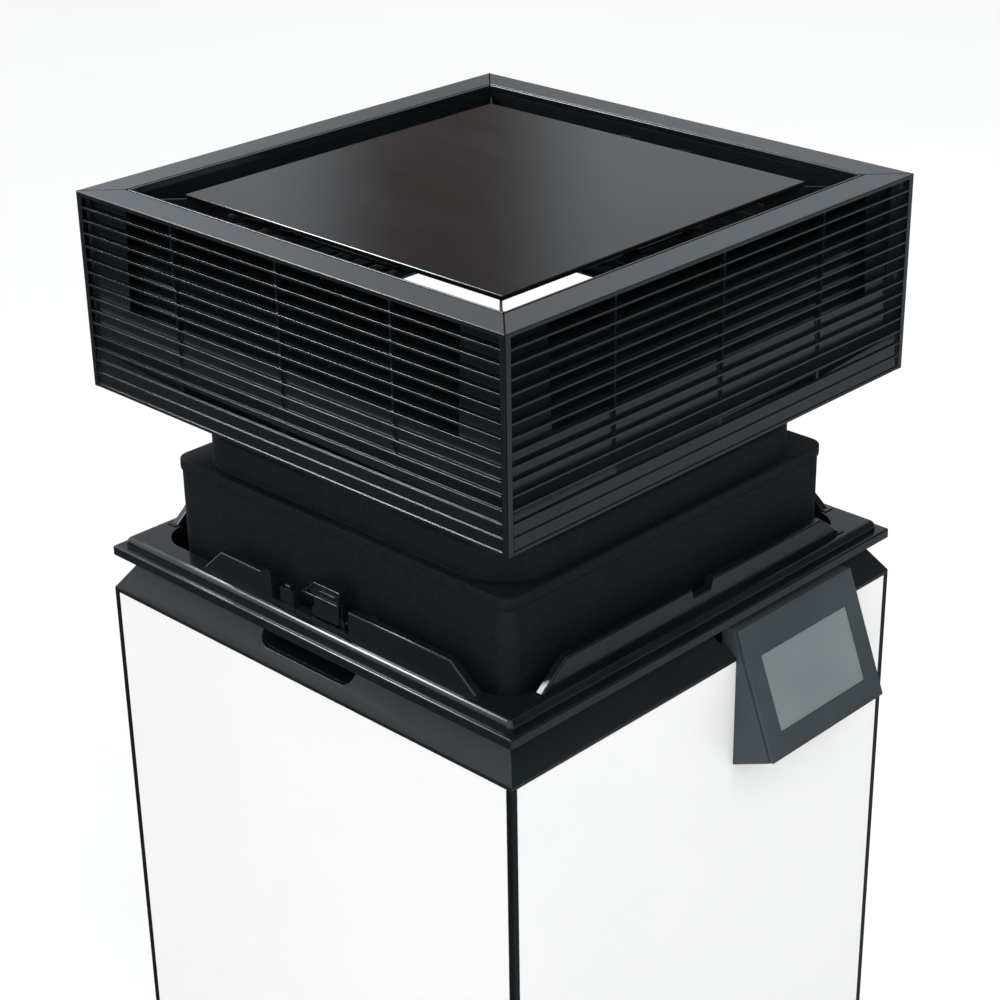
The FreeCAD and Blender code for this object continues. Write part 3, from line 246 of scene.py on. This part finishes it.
def louvre_plastic(name, colour, rough, wall):
    """Moulded plastic that is polished outside, satin on the bezel and matt from a few millimetres inside,
    where the lost gloss is painted shade; the bezel's upward face is painted a lighter grey as a painted
    sheen.

    wall is how far the moulding's outer face stands from the middle of the cabinet."""
    shader = Shader(name)
    shader.finish(colour, rough, 0.25 * MM, 0.003 * MM, 0.05, LOUVRE_GLOSS)
    depth = shader.depth_behind(wall)
    # Painted shade: deep inside, on upward faces a few millimetres in, and on the shaded rib and wall
    # faces, the gloss falls almost to nothing so the hood's inside reads dark.
    deep = shader.spread(depth, 0, 1, 7.5 * MM, 9.5 * MM)
    level = shader.spread(depth, 0, 1, 2.5 * MM, 4.0 * MM)
    upward = shader.spread(shader.facing((0, 0, 1)), 0, 1, 0.5, 0.8)
    below_bezel = shader.spread(shader.height(), 1, 0, *BEZEL_UNDERSIDE)
    inside = shader.largest(deep, shader.times(level, upward))
    inside = shader.largest(inside, shaded_faces(shader, depth))
    inside = shader.times(inside, below_bezel)
    # Painted sheen: the bezel's upward face takes a lighter grey for the light it catches from above.
    on_bezel = shader.times(shader.spread(shader.height(), 0, 1, *BEZEL_FACE), upward)
    shader.colour(shader.tint(on_bezel, shader.tone, BEZEL_SHEEN_GREY))
    shaded_rough = shader.blend(inside, shader.rough_value, SHADE_ROUGH)
    shader.roughness(shader.blend(on_bezel, shaded_rough, BEZEL_ROUGH))
    gloss = shader.spread(inside, LOUVRE_GLOSS, SHADE_GLOSS, 0, 1)
    shader.link(gloss, shader.surface.inputs["Specular IOR Level"])
    return shader.material


def white_lacquer(name):
    """Smooth white lacquer on sheet: very slight orange peel and a trace of warm and cool."""
    shader = Shader(name)
    tint = shader.spread(shader.noise(120 * MM, 2), 0, 1)
    shader.colour(shader.two_tone(tint, (0.80, 0.802, 0.805), (0.815, 0.815, 0.812)))
    shader.roughness(shader.spread(shader.noise(20 * MM, 3), 0.3, 0.38))
    shader.set(IOR=1.5, Coat_Weight=0.15, Coat_Roughness=0.15)
    shader.relief(shader.noise(2.2 * MM, 2), 0.004 * MM)
    return shader.material


def gloss_panel(name):
    """Piano-black acrylic panel with faint wipe marks and dust-fine roughness."""
    shader = Shader(name)
    shader.colour(shader.two_tone(shader.spread(shader.noise(150 * MM), 0, 1),
                                  (0.003, 0.0032, 0.0036), (0.006, 0.0062, 0.0066)))
    wipe = shader.noise(30 * MM, 5, 0.6, shader.stretched((1.0, 0.3, 1.0)))
    shader.roughness(shader.spread(wipe, 0.09, 0.16))
    shader.set(IOR=1.5, Specular_IOR_Level=0.56, Specular_Tint=COOL_GLOSS)
    shader.relief(shader.noise(90 * MM, 1), 0.05 * MM)
    return shader.material


def bead_foam(name):
    """Moulded expanded-bead foam: flat bead cells, pin holes and a fine matt grain."""
    shader = Shader(name)
    bead = shader.cells(3.2 * MM)
    shader.colour(shader.two_tone(shader.spread(bead, 0, 1, 0.1, 0.8),
                                  (0.0085, 0.0112, 0.0135), (0.0060, 0.0080, 0.0098)))
    shader.roughness(shader.spread(shader.noise(1.2 * MM, 3), 0.62, 0.8))
    shader.set(IOR=1.45, Specular_IOR_Level=0.14, Specular_Tint=COOL_GLOSS)
    shader.relief(bead, -0.05 * MM)
    shader.relief(shader.noise(1.1 * MM, 4, 0.6), 0.16 * MM)
    return shader.material


def rubber(name, colour=(0.018, 0.018, 0.018)):
    """Soft dull rubber or foam with a fine grain."""
    shader = Shader(name)
    shader.colour(shader.two_tone(shader.spread(shader.noise(8 * MM), 0, 1), colour,
                                  tuple(value * 1.6 for value in colour)))
    shader.roughness(shader.spread(shader.noise(2 * MM), 0.7, 0.9))
    shader.relief(shader.noise(0.4 * MM, 3), 0.03 * MM)
    return shader.material


def brushed_metal(name, colour, rough, along=(0.02, 1.0, 1.0), depth=0.006 * MM):
    """Metal with fine lines along one axis and a slow change of tone."""
    shader = Shader(name)
    shader.colour(shader.two_tone(shader.spread(shader.noise(25 * MM), 0, 1),
                                  tuple(value * 0.85 for value in colour), colour))
    line = shader.noise(0.35 * MM, 2, 0.5, shader.stretched(along))
    shader.roughness(shader.spread(line, rough - 0.08, rough + 0.1))
    shader.set(Metallic=1.0)
    shader.relief(line, depth)
    return shader.material


def zinc_sheet(name):
    """Galvanised sheet with a faint spangle."""
    shader = Shader(name)
    spangle = shader.cells(7 * MM)
    shader.colour(shader.two_tone(shader.spread(spangle, 0, 1, 0.0, 0.7), (0.42, 0.43, 0.44),
                                  (0.58, 0.59, 0.6)))
    shader.roughness(shader.spread(spangle, 0.3, 0.5, 0.0, 0.7))
    shader.set(Metallic=1.0)
    shader.relief(shader.noise(1.5 * MM, 2), 0.01 * MM)
    return shader.material


def fibre_mat(name, dark, light):
    """Non-woven mat or filter paper: crossed fibres and fluff."""
    shader = Shader(name)
    one = shader.noise(0.7 * MM, 4, 0.7, shader.stretched((1.0, 0.2, 1.0)))
    two = shader.noise(0.7 * MM, 4, 0.7, shader.stretched((0.2, 1.0, 1.0)))
    both = shader.times(one, two)
    shader.colour(shader.two_tone(shader.spread(both, 0, 1, 0.12, 0.4), dark, light))
    shader.set(Roughness=0.95, Sheen_Weight=0.2)
    shader.relief(both, 0.3 * MM)
    return shader.material


def circuit_board(name):
    """Green solder mask over faint traces."""
    shader = Shader(name)
    node = shader.tree.nodes.new("ShaderNodeTexBrick")
    node.inputs["Scale"].default_value = 180.0
    node.inputs["Mortar Size"].default_value = 0.06
    node.inputs["Color1"].default_value = (0.012, 0.1, 0.04, 1)
    node.inputs["Color2"].default_value = (0.016, 0.13, 0.05, 1)
    node.inputs["Mortar"].default_value = (0.03, 0.2, 0.08, 1)
    shader.link(shader.place, node.inputs["Vector"])
    shader.colour(node.outputs["Color"])
    shader.roughness(shader.spread(shader.noise(5 * MM), 0.25, 0.4))
    shader.relief(node.outputs["Fac"], 0.03 * MM)
    return shader.material


def touch_screen(name):
    """Grey resistive touch film, switched off: matt, a little lighter towards its upper left."""
    shader = Shader(name)
    shader.colour(shader.two_tone(shader.spread(shader.noise(70 * MM, 2), 0, 1),
                                  (0.150, 0.172, 0.181), (0.175, 0.199, 0.207)))
    shader.roughness(shader.spread(shader.noise(0.25 * MM, 2), 0.34, 0.48))
    shader.set(IOR=1.5, Coat_Weight=0.2, Coat_Roughness=0.3)
    shader.relief(shader.noise(0.2 * MM, 2), 0.004 * MM)
    return shader.material


def floor_paint(name):
    """Matt pale studio floor."""
    shader = Shader(name)
    shader.colour(shader.two_tone(shader.spread(shader.noise(0.5), 0, 1), (0.93, 0.93, 0.93),
                                  (0.95, 0.95, 0.95)))
    shader.roughness(shader.spread(shader.noise(0.02), 0.7, 0.85))
    shader.relief(shader.noise(3 * MM), 0.02 * MM)
    return shader.material


MATERIALS = {
    "hood_black": louvre_plastic("hood_black", (0.0045, 0.0060, 0.0072), 0.2, HOOD_OUT),
    "ring_black": moulded_plastic("ring_black", (0.0050, 0.0065, 0.0078), 0.17, gloss=0.45),
    "shoulder_black": moulded_plastic("shoulder_black", (0.0065, 0.0088, 0.0105), 0.34,
                                      0.35 * MM, 0.008 * MM, gloss=0.4),
    "inner_black": moulded_plastic("inner_black", (0.0045, 0.0055, 0.0065), 0.45,
                                   0.35 * MM, 0.01 * MM, gloss=0.3),
    "post_black": moulded_plastic("post_black", (0.0045, 0.0058, 0.007), 0.3, gloss=0.14),
    "plinth_black": moulded_plastic("plinth_black", (0.013, 0.0145, 0.0155), 0.5,
                                    0.5 * MM, 0.02 * MM),
    "switch_black": moulded_plastic("switch_black", (0.006, 0.007, 0.008), 0.3, gloss=0.35),
    "impeller_grey": moulded_plastic("impeller_grey", (0.05, 0.052, 0.055), 0.5, 0.4 * MM, 0.02 * MM),
    "pod_grey": moulded_plastic("pod_grey", (0.037, 0.045, 0.0505), 0.5, 0.3 * MM, 0.01 * MM, 0.05, 0.3),
    "wire_black": moulded_plastic("wire_black", (0.012, 0.012, 0.013), 0.38, 0.6 * MM, 0.02 * MM),
    "gloss_black": gloss_panel("gloss_black"),
    "white_panel": white_lacquer("white_panel"),
    "foam_black": bead_foam("foam_black"),
    "rubber_foot": rubber("rubber_foot"),
    "gasket_foam": rubber("gasket_foam", (0.03, 0.03, 0.031)),
    "steel": brushed_metal("steel", (0.62, 0.62, 0.63), 0.3),
    "aluminium_can": brushed_metal("aluminium_can", (0.75, 0.75, 0.77), 0.42, (1.0, 1.0, 0.05)),
    "zinc_sheet": zinc_sheet("zinc_sheet"),
    "mat_grey": fibre_mat("mat_grey", (0.05, 0.052, 0.055), (0.2, 0.21, 0.22)),
    "filter_white": fibre_mat("filter_white", (0.6, 0.6, 0.58), (0.85, 0.85, 0.82)),
    "board_green": circuit_board("board_green"),
    "screen_glass": touch_screen("screen_glass"),
}

# Edge rounding of the carried-over pieces, in metres: moulded parts are softer than sheet.
EDGE_RADIUS = {
    "hood_black": 0.28 * MM, "ring_black": 0.45 * MM, "shoulder_black": 0.5 * MM,
    "gloss_black": 0.6 * MM, "white_panel": 0.4 * MM, "pod_grey": 0.7 * MM, "foam_black": 1.0 * MM,
    "post_black": 0.5 * MM, "plinth_black": 0.8 * MM, "rubber_foot": 1.0 * MM,
    "switch_black": 0.25 * MM, "inner_black": 0.25 * MM, "screen_glass": 0.2 * MM,
}
WELD_REACH = 1e-6
# The ring's edges are already rounded in the CAD piece and its finest ones are too short to round.
CLAMPED = {"top_ring"}
FLAT_ANGLE = math.radians(0.6)
EDGE_ANGLE = math.radians(32)


def soften_edges(piece, radius):
    """Welds the tessellation, merges its flat faces and rounds the sharp edges."""
    weld = piece.modifiers.new("weld", "WELD")
    weld.merge_threshold = WELD_REACH
    flat = piece.modifiers.new("merge_flats", "DECIMATE")
    flat.decimate_type = "DISSOLVE"
    flat.angle_limit = FLAT_ANGLE
    bevel = piece.modifiers.new("round_edges", "BEVEL")
    bevel.width = radius
    bevel.segments = 3
    bevel.limit_method = "ANGLE"
    bevel.angle_limit = EDGE_ANGLE
    bevel.harden_normals = True
    bevel.use_clamp_overlap = piece.name in CLAMPED


def finish_node(name, slot):
    """Gives one CAD node its material and, where it shows, rounded edges."""
    piece = NODES[name]
    for place in piece.material_slots:
        place.material = MATERIALS[slot]
    if slot in EDGE_RADIUS:
        soften_edges(piece, EDGE_RADIUS[slot])


for part in frame["record"]["subparts"]:
    finish_node(part["node"], part["material_slot"])


# ---------------------------------------------------------------- corner screws of the hood
def lathe(name, profile, steps=32):
    """Closed mesh turned about Z from (radius, height) points that start and end on the axis."""
    mesh = bmesh.new()
    bottom = mesh.verts.new((0, 0, profile[0][1]))
    top = mesh.verts.new((0, 0, profile[-1][1]))
    rings = []
    for radius, height in profile[1:-1]:
        angles = [2 * math.pi * step / steps for step in range(steps)]
        rings.append([mesh.verts.new((radius * math.cos(a), radius * math.sin(a), height))
                      for a in angles])
    for step in range(steps):
        after = (step + 1) % steps
        mesh.faces.new((bottom, rings[0][after], rings[0][step]))
        mesh.faces.new((top, rings[-1][step], rings[-1][after]))
        for low, high in zip(rings, rings[1:]):
            mesh.faces.new((low[step], low[after], high[after], high[step]))
    data = bpy.data.meshes.new(name)
    mesh.to_mesh(data)
    mesh.free()
    piece = bpy.data.objects.new(name, data)
    bpy.context.scene.collection.objects.link(piece)
    return piece


def cross_tool(reach, width, low, high):
    """Two crossed blocks that cut the driver recess."""
    mesh = bmesh.new()
    for size in ((reach, width), (width, reach)):
        block = bmesh.ops.create_cube(mesh, size=1.0)["verts"]
        bmesh.ops.scale(mesh, vec=(size[0], size[1], high - low), verts=block)
        bmesh.ops.translate(mesh, vec=(0, 0, (high + low) / 2), verts=block)
    data = bpy.data.meshes.new("cross_tool")
    mesh.to_mesh(data)
    mesh.free()
    piece = bpy.data.objects.new("cross_tool", data)
    bpy.context.scene.collection.objects.link(piece)
    return piece


def make_screw(name, place, outward):
    """Countersunk screw in a raised collar, let into the louvre moulding's end block."""
    profile = [(0, -0.6), (2.4, -0.6), (2.4, 0.35), (2.2, 0.5), (1.85, 0.5), (1.7, 0.1), (1.55, 0.06),
               (1.45, 0.3), (0.9, 0.42), (0, 0.45)]
    piece = lathe(name, [(radius * MM, height * MM) for radius, height in profile])
    tool = cross_tool(1.7 * MM, 0.4 * MM, 0.1 * MM, 0.7 * MM)
    recess = piece.modifiers.new("recess", "BOOLEAN")
    recess.operation = "DIFFERENCE"
    recess.object = tool
    recess.use_self = True
    view = bpy.context.evaluated_depsgraph_get()
    piece.data = bpy.data.meshes.new_from_object(piece.evaluated_get(view))
    piece.modifiers.clear()
    bpy.data.objects.remove(tool)
    piece.data.materials.clear()
    piece.data.materials.append(MATERIALS["switch_black"])
    turn = Vector(outward).to_track_quat("Z", "Y").to_matrix().to_4x4()
    piece.matrix_world = Matrix.Translation(place) @ turn
    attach(piece, "hood")


SCREW_IN = 8.7 * MM
BLOCK_SET = 2.4 * MM
for side, sign in (("front", -1), ("back", 1)):
    for number, drop in enumerate((6.6 * MM, 62.2 * MM), start=1):
        spot = Vector((-sign * (HOOD_OUT - SCREW_IN), sign * (HOOD_OUT - BLOCK_SET), HOOD_TOP - drop))
        make_screw(f"hood_screw_{side}_{number}", spot, (0, sign, 0))


# ---------------------------------------------------------------- black strips that paint the shade in the bezel's mitres
# Painted shade: the near-black, almost gloss-free strip stands in for the shadow inside each open mitre
# gap.
SEAM_SHADE = moulded_plastic("seam_painted_shade", (0.0015, 0.0018, 0.0020), 0.8, gloss=0.04)
BEZEL_WIDTH = 23 * MM
STRIP_LENGTH = 32.2 * MM
STRIP_WIDTH = 0.9 * MM
STRIP_HEIGHT = 0.5 * MM
STRIP_SUNK = 0.01 * MM


def make_mitre_shade_strip(name, turn):
    """Thin matt black strip let into the open mitre between two bezel mouldings: painted shade that stands
    in for the shadow in the gap.
    """
    mesh = bmesh.new()
    bmesh.ops.create_cube(mesh, size=1.0)
    bmesh.ops.scale(mesh, vec=(STRIP_LENGTH, STRIP_WIDTH, STRIP_HEIGHT), verts=mesh.verts)
    data = bpy.data.meshes.new(name)
    mesh.to_mesh(data)
    mesh.free()
    data.materials.append(SEAM_SHADE)
    piece = bpy.data.objects.new(name, data)
    bpy.context.scene.collection.objects.link(piece)
    middle = (HOOD_OUT - BEZEL_WIDTH / 2) * math.sqrt(2)
    piece.matrix_world = (Matrix.Rotation(math.radians(45 + 90 * turn), 4, "Z")
                          @ Matrix.Translation((middle, 0, HOOD_TOP - STRIP_SUNK - STRIP_HEIGHT / 2)))
    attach(piece, "hood")


for turn in range(4):
    make_mitre_shade_strip(f"mitre_shade_strip_{turn + 1}", turn)


# ---------------------------------------------------------------- studio
def make_floor():
    """Large pale floor, far wider than the view and left out of reflections."""
    half = 12.0
    mesh = bpy.data.meshes.new("floor")
    mesh.from_pydata([(-half, -half, 0), (half, -half, 0), (half, half, 0), (-half, half, 0)], [],
                     [(0, 1, 2, 3)])
    floor = bpy.data.objects.new("floor", mesh)
    bpy.context.scene.collection.objects.link(floor)
    mesh.materials.append(floor_paint("floor_paint"))
    floor.visible_glossy = False


def soft_box(name, towards, distance, size, power, in_gloss=True, in_diffuse=True):
    """Rectangular soft light that faces the object's middle from a given direction."""
    data = bpy.data.lights.new(name, "AREA")
    data.shape = "RECTANGLE"
    data.size, data.size_y = size
    data.energy = power
    light = bpy.data.objects.new(name, data)
    aim = Vector((0, 0, 0.55))
    direction = Vector(towards).normalized()
    light.location = aim + direction * distance
    light.rotation_euler = direction.to_track_quat("Z", "Y").to_euler()
    light.visible_camera = False
    light.visible_glossy = in_gloss
    light.visible_diffuse = in_diffuse
    bpy.context.scene.collection.objects.link(light)
    return light


class Sky:
    """World light built from soft round patches, each a blend towards its own colour."""

    def __init__(self, base):
        world = bpy.data.worlds.new("studio")
        world.use_nodes = True
        bpy.context.scene.world = world
        self.tree = world.node_tree
        self.background = self.tree.nodes["Background"]
        self.direction = self.tree.nodes.new("ShaderNodeTexCoord").outputs["Generated"]
        self.background.inputs["Color"].default_value = (*base, 1)
        self.light = None
        self.base = base

    def along(self, towards):
        """Cosine of the angle between a world direction and the one given."""
        node = self.tree.nodes.new("ShaderNodeVectorMath")
        node.operation = "DOT_PRODUCT"
        self.tree.links.new(self.direction, node.inputs[0])
        node.inputs[1].default_value = Vector(towards).normalized()
        return node.outputs["Value"]

    def ramp(self, source, none_at, full_at):
        """Smooth weight that is 0 at none_at and 1 at full_at."""
        node = self.tree.nodes.new("ShaderNodeMapRange")
        node.interpolation_type = "SMOOTHSTEP"
        flip = none_at > full_at
        node.inputs["From Min"].default_value = full_at if flip else none_at
        node.inputs["From Max"].default_value = none_at if flip else full_at
        node.inputs["To Min"].default_value = 1.0 if flip else 0.0
        node.inputs["To Max"].default_value = 0.0 if flip else 1.0
        self.tree.links.new(source, node.inputs["Value"])
        return node.outputs["Result"]

    def both(self, first, second):
        node = self.tree.nodes.new("ShaderNodeMath")
        node.operation = "MULTIPLY"
        self.tree.links.new(first, node.inputs[0])
        self.tree.links.new(second, node.inputs[1])
        return node.outputs["Value"]

    def patch(self, weight, colour):
        node = self.tree.nodes.new("ShaderNodeMix")
        node.data_type = "RGBA"
        node.inputs[6].default_value = (*self.base, 1)
        node.inputs[7].default_value = (*colour, 1)
        if self.light:
            self.tree.links.new(self.light, node.inputs[6])
        self.tree.links.new(weight, node.inputs[0])
        self.light = node.outputs[2]
        self.tree.links.new(self.light, self.background.inputs["Color"])

    def disc(self, towards, edge_degrees, core_degrees, colour):
        """A round soft patch that starts at edge_degrees and is full inside core_degrees."""
        near = math.cos(math.radians(core_degrees))
        far = math.cos(math.radians(edge_degrees))
        self.patch(self.ramp(self.along(towards), far, near), colour)


def compass(azimuth, elevation):
    """Unit vector from degrees: azimuth from +X towards +Y, elevation above the floor."""
    level = math.cos(math.radians(elevation))
    return (level * math.cos(math.radians(azimuth)), level * math.sin(math.radians(azimuth)),
            math.sin(math.radians(elevation)))


def make_world():
    """White studio with a dark side at the front right and a dark back left below the horizon.

    The level gloss panel mirrors a grey patch behind the object with a dark warm band up its middle."""
    white = (1.42, 1.42, 1.42)
    dark = (0.10, 0.105, 0.11)
    mirrored = compass(46, 26)
    across = compass(136, 0)
    sky = Sky(white)
    sky.disc(mirrored, 44, 24, (0.56, 0.60, 0.63))
    sky.disc(compass(-44, 16), 66, 36, dark)
    below = sky.ramp(sky.along((0, 0, 1)), 0.0, -0.3)
    sky.patch(below, (0.42, 0.44, 0.46))
    sky.disc(compass(137, -26), 48, 26, dark)
    band = sky.ramp(sky.along(across), -0.085, -0.02)
    band_end = sky.ramp(sky.along(across), 0.075, 0.01)
    reach = sky.ramp(sky.along(mirrored), math.cos(math.radians(22)), math.cos(math.radians(10)))
    sky.patch(sky.both(sky.both(band, band_end), reach), (0.155, 0.125, 0.12))


def make_camera():
    """Looks down on the near corner, as the object is seen in use."""
    side = 0.35
    cabinet_edge = Vector((0, 0, 0.56))
    azimuth = math.radians(-45.725)
    elevation = math.radians(25.504)
    roll = math.radians(-0.953)
    away, sideways, raised = 4.1449 * side, -0.0042 * side, 0.1491 * side
    back = Vector((math.sin(azimuth) * math.cos(elevation), -math.cos(azimuth) * math.cos(elevation),
                   math.sin(elevation)))
    right = Vector((math.cos(azimuth), math.sin(azimuth), 0))
    up = back.cross(right)
    across = right * math.cos(roll) + up * math.sin(roll)
    upright = up * math.cos(roll) - right * math.sin(roll)
    place = cabinet_edge + away * back + sideways * across + raised * upright
    data = bpy.data.cameras.new("camera")
    data.sensor_width = 36.0
    data.lens = 81.57
    camera = bpy.data.objects.new("camera", data)
    axes = Matrix((across, upright, back)).transposed().to_4x4()
    camera.matrix_world = Matrix.Translation(place) @ axes
    bpy.context.scene.collection.objects.link(camera)
    bpy.context.scene.camera = camera


make_floor()
make_world()
make_camera()
soft_box("rim_back", (-0.12, 0.63, 0.74), 2.2, (1.5, 0.45), 70, in_diffuse=False)
soft_box("fill_front", compass(-100, 38), 3.0, (2.5, 2.0), 36, in_gloss=False)
soft_box("fill_right", compass(-20, 30), 3.0, (2.5, 2.0), 10, in_gloss=False)
bpy.context.scene.view_settings.view_transform = "Standard"
